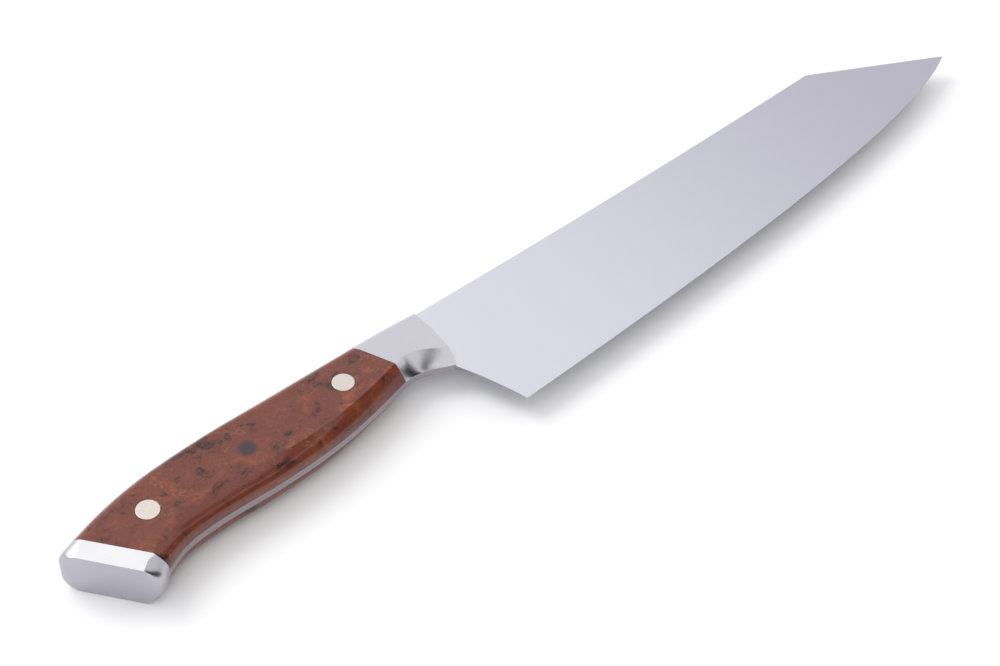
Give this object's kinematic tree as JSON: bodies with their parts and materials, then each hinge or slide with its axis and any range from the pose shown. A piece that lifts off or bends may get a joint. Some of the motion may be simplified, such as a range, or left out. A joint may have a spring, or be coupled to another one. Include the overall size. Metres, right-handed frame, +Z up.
{
  "type": "kiritsuke knife",
  "caption": "Kitchen knife with a tall straight-backed blade and slanted clip point, full tang, flared metal bolster, riveted burl wood scales and metal end cap.",
  "frame": {"origin": "middle of the knife's plan, on the surface that it lies on", "axes": "+X along the blade to the point, +Y from the edge to the back, +Z up out of the right face; the knife lies on its left side"},
  "size_m": [0.3784, 0.0466, 0.015],
  "materials": {
    "blade_steel": "satin",
    "bolster_steel": "polished",
    "burl_wood": "gloss",
    "rivet_metal": "polished",
    "dowel_steel": "plain"
  },
  "bodies": {
    "root": {"blade": "blade_steel", "bolster_right": "bolster_steel", "bolster_left": "bolster_steel", "scale_right": "burl_wood", "scale_left": "burl_wood", "end_cap": "bolster_steel", "bolster_dowel_front": "dowel_steel", "bolster_dowel_rear": "dowel_steel", "rivet_front_stud": "rivet_metal", "rivet_front_barrel": "rivet_metal", "rivet_rear_stud": "rivet_metal", "rivet_rear_barrel": "rivet_metal"}
  },
  "joints": []
}
